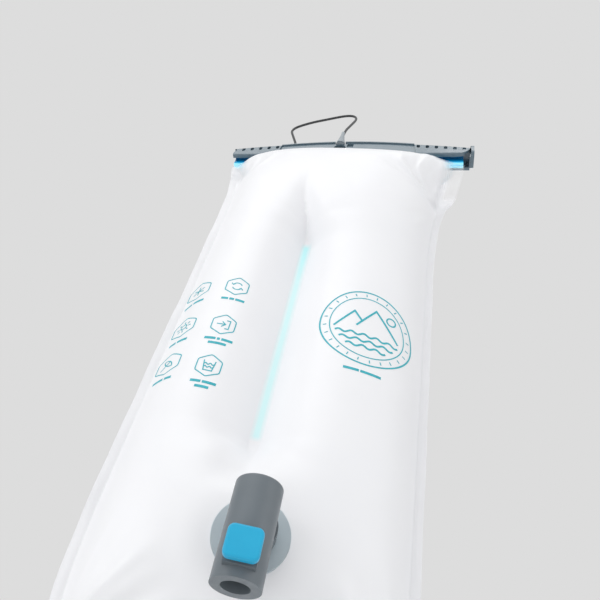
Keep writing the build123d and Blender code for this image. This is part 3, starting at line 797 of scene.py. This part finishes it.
def ink_material():
    """Screen-printed ink: teal, thin in places."""
    material, tree, shader = new_material("printed_ink")
    place = object_coordinates(tree)
    worn = noise(tree, place, 420, 4, 0.6)
    tree.links.new(ramp(tree, worn, 0.3, 0.75, (0.014, 0.37, 0.45), (0.060, 0.50, 0.58)),
                   shader.inputs["Base Color"])
    tree.links.new(remap(tree, worn, 0.3, 0.7, 0.38, 0.55), shader.inputs["Roughness"])
    tree.links.new(bump(tree, worn, 0.1, 0.0001), shader.inputs["Normal"])
    return material


ink = ink_material()
printed_icons = printed("printed_icons", ICONS, ink)
printed_badge = printed("printed_badge", BADGE, ink)


# ---------------------------------------------------------------- materials of the CAD pieces
# the lips' lower edge and the drop where their painted shade is darkest, and the rounding of every
# sharp edge
LIP_SHADE_DROPS = (17.2, 12.5)
EDGE_ROUND = 0.25 * MM


def lip_material():
    """Clear blue plastic with painted shade that darkens up into the rail, and a painted glow that is
    brightest at the lower edge.
    """
    material, tree, shader = new_material("lip_plastic")
    place = object_coordinates(tree)
    up = remap(tree, place_axes(tree, place)[1], *map(z_at, LIP_SHADE_DROPS), 0.0, 1.0)
    # painted shade: pale cyan at the lower edge, darkening to deep blue up inside the rail
    shade_and_glow_ramp = add(tree, "ShaderNodeValToRGB")
    stops = shade_and_glow_ramp.color_ramp.elements
    stops[0].position, stops[0].color = 0.0, (0.36, 0.84, 1.0, 1)
    stops[1].position, stops[1].color = 1.0, (0.0, 0.085, 0.22, 1)
    stops.new(0.22).color = (0.07, 0.58, 0.88, 1)
    stops.new(0.55).color = (0.0, 0.26, 0.58, 1)
    tree.links.new(up, shade_and_glow_ramp.inputs["Fac"])
    tree.links.new(shade_and_glow_ramp.outputs["Color"], shader.inputs["Base Color"])
    # painted glow: the lips emit their own blues, strongest at the lower edge
    tree.links.new(shade_and_glow_ramp.outputs["Color"], shader.inputs["Emission Color"])
    tree.links.new(remap(tree, up, 0.0, 0.30, 0.34, 0.13), shader.inputs["Emission Strength"])
    fine_grain = noise(tree, place, 1800, 2)
    tree.links.new(remap(tree, fine_grain, 0.3, 0.7, 0.22, 0.32), shader.inputs["Roughness"])
    tree.links.new(bump(tree, fine_grain, 0.05, 0.0001), shader.inputs["Normal"])
    shader.inputs["Subsurface Weight"].default_value = 0.2
    shader.inputs["Subsurface Radius"].default_value = (0.001, 0.002, 0.003)
    return material


def steel_material():
    """Bright drawn wire."""
    material, tree, shader = new_material("spring_steel")
    drawn = noise(tree, object_coordinates(tree), 900, 4)
    tree.links.new(ramp(tree, drawn, 0.3, 0.7, (0.50, 0.51, 0.52), (0.66, 0.67, 0.68)),
                   shader.inputs["Base Color"])
    tree.links.new(remap(tree, drawn, 0.3, 0.7, 0.22, 0.36), shader.inputs["Roughness"])
    tree.links.new(bump(tree, drawn, 0.1, 0.0001), shader.inputs["Normal"])
    shader.inputs["Metallic"].default_value = 1.0
    return material


looks = {
    "slider_rail": moulded("rail_plastic", (0.086, 0.136, 0.174), (0.108, 0.162, 0.201), 0.36,
                           coat=0.9),
    "cord_ferrule": moulded("ferrule_plastic", (0.30, 0.34, 0.37), (0.36, 0.40, 0.43), 0.35),
    "cord_stopper_knot": cord_material,
    "front_lip_strip": lip_material(),
    "baffle_front_strip": moulded("baffle_plastic", (0.16, 0.70, 0.84), (0.20, 0.76, 0.88), 0.35),
    "port_flange": moulded("flange_plastic", (0.60, 0.70, 0.76), (0.66, 0.76, 0.81), 0.35,
                           transmission=0.3),
    "port_retaining_ring": moulded("port_plastic", (0.13, 0.155, 0.175), (0.155, 0.18, 0.20), 0.4),
    "valve_poppet": moulded("valve_plastic", (0.55, 0.60, 0.63), (0.62, 0.67, 0.70), 0.4),
    "port_gasket": moulded("seal_rubber", (0.02, 0.02, 0.022), (0.035, 0.035, 0.037), 0.6),
    "release_button": moulded("button_plastic", (0.0, 0.36, 0.62), (0.01, 0.42, 0.68), 0.38),
}
looks["back_lip_strip"] = looks["front_lip_strip"]
looks["baffle_back_strip"] = looks["baffle_front_strip"]
looks["port_housing"] = looks["housing_cap"] = looks["port_retaining_ring"]
looks["poppet_seal"] = looks["socket_oring"] = looks["port_gasket"]
for name, look in looks.items():
    data = nodes[name].data
    data.materials.clear()
    data.materials.append(look)
    soften = nodes[name].modifiers.new("edge", "BEVEL")
    soften.width = EDGE_ROUND
    soften.segments = 2
    soften.limit_method = "ANGLE"
    soften.angle_limit = math.radians(40)

# ---------------------------------------------------------------- springs wound in their CAD solids' boxes
COIL_TURNS = 5.5
DEAD_TURNS = 0.9
TURN_STEPS = 24
WIRE_SIDES = 10
COIL_PLAY = 0.03 * MM
# name, CAD solid, axis, joint that shortens it, the joint's travel, wire's thickness
SPRINGS = (
    ("valve_coil", "poppet_spring", 2, "valve_travel", 3.5 * MM, 0.7 * MM),
    ("button_coil", "button_spring", 1, "button_press", 1.5 * MM, 0.5 * MM),
)


def wound_spring(name, node, axis, joint, travel, wire):
    """A coil in its CAD solid's box, along axis 1 or 2."""
    low, high = (np.array(corner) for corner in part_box(node))
    middle, size = (low + high) / 2, high - low
    first, second = [k for k in range(3) if k != axis]
    length = size[axis] - wire - 2 * COIL_PLAY
    turns = np.linspace(0, COIL_TURNS, int(COIL_TURNS * TURN_STEPS) + 1)
    closed = DEAD_TURNS * wire
    rise = np.interp(turns, [0, DEAD_TURNS, COIL_TURNS - DEAD_TURNS, COIL_TURNS],
                     [0, closed, length - closed, length])
    outward = np.zeros((len(turns), 3))
    outward[:, first] = np.cos(turns * 2 * math.pi)
    outward[:, second] = np.sin(turns * 2 * math.pi)
    line = middle + outward * (size[first] - wire) / 2
    line[:, axis] = low[axis] + wire / 2 + COIL_PLAY + rise
    upward = np.eye(3)[axis]
    round_wire = [line + wire / 2 * (math.cos(t) * outward + math.sin(t) * upward)
                  for t in np.linspace(0, 2 * math.pi, WIRE_SIDES, endpoint=False)]
    vertices = np.stack(round_wire, 1).reshape(-1, 3)
    faces = [tuple(range(WIRE_SIDES)), tuple(range(len(vertices) - WIRE_SIDES, len(vertices)))]
    for i in range(len(turns) - 1):
        for k in range(WIRE_SIDES):
            a, b = i * WIRE_SIDES + k, i * WIRE_SIDES + (k + 1) % WIRE_SIDES
            faces.append((a, b, b + WIRE_SIDES, a + WIRE_SIDES))
    coil = mesh_object(name, vertices, faces)
    face_outward(coil.data)
    coil.data.materials.append(steel)
    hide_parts(node)
    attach(coil, "bag")
    anchor = middle.copy()
    anchor[axis] = high[axis]
    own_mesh(coil)


steel = steel_material()
for spring in SPRINGS:
    wound_spring(*spring)

# ---------------------------------------------------------------- floor, backdrop and light
FLOOR_RADIUS = 3.0
FLOOR_HEIGHT = -0.62
BACKGROUND = (0.723, 0.723, 0.723)

bm = bmesh.new()
bmesh.ops.create_circle(bm, cap_ends=True, segments=96, radius=FLOOR_RADIUS)
mesh = bpy.data.meshes.new("floor")
bm.to_mesh(mesh)
bm.free()
floor = bpy.data.objects.new("floor", mesh)
floor.location = (0, 0, FLOOR_HEIGHT)
scene.collection.objects.link(floor)
floor_material, _, floor_shader = new_material("floor")
floor_shader.inputs["Base Color"].default_value = (0.86, 0.86, 0.86, 1)
floor_shader.inputs["Roughness"].default_value = 0.8
mesh.materials.append(floor_material)

world = bpy.data.worlds.new("studio")
world.use_nodes = True
world.node_tree.nodes["Background"].inputs["Color"].default_value = (*BACKGROUND, 1)
scene.world = world


def softbox(name, place, target, size, power):
    """A round soft light, with its place and target in metres and its power in watts."""
    data = bpy.data.lights.new(name, "AREA")
    data.shape = "DISK"
    data.size = size
    data.energy = power
    lamp = bpy.data.objects.new(name, data)
    lamp.location = place
    lamp.rotation_euler = (Vector(target) - Vector(place)).to_track_quat("-Z", "Y").to_euler()
    scene.collection.objects.link(lamp)


softbox("key", (-0.40, -0.76, 0.62), (0, 0, -0.15), 1.1, 3.55)
softbox("rail_glint", (0.05, -0.60, 0.80), (0, 0, -0.06), 0.22, 0.27)
softbox("fill", (-1.15, -0.85, -0.35), (0, 0, -0.25), 1.1, 4.6)
softbox("side", (1.1, -0.7, 0.1), (0, 0, -0.2), 1.0, 1.8)
softbox("back", (0.5, 0.9, 0.3), (0, 0, -0.2), 1.0, 3.5)
scene.view_settings.view_transform = "Standard"
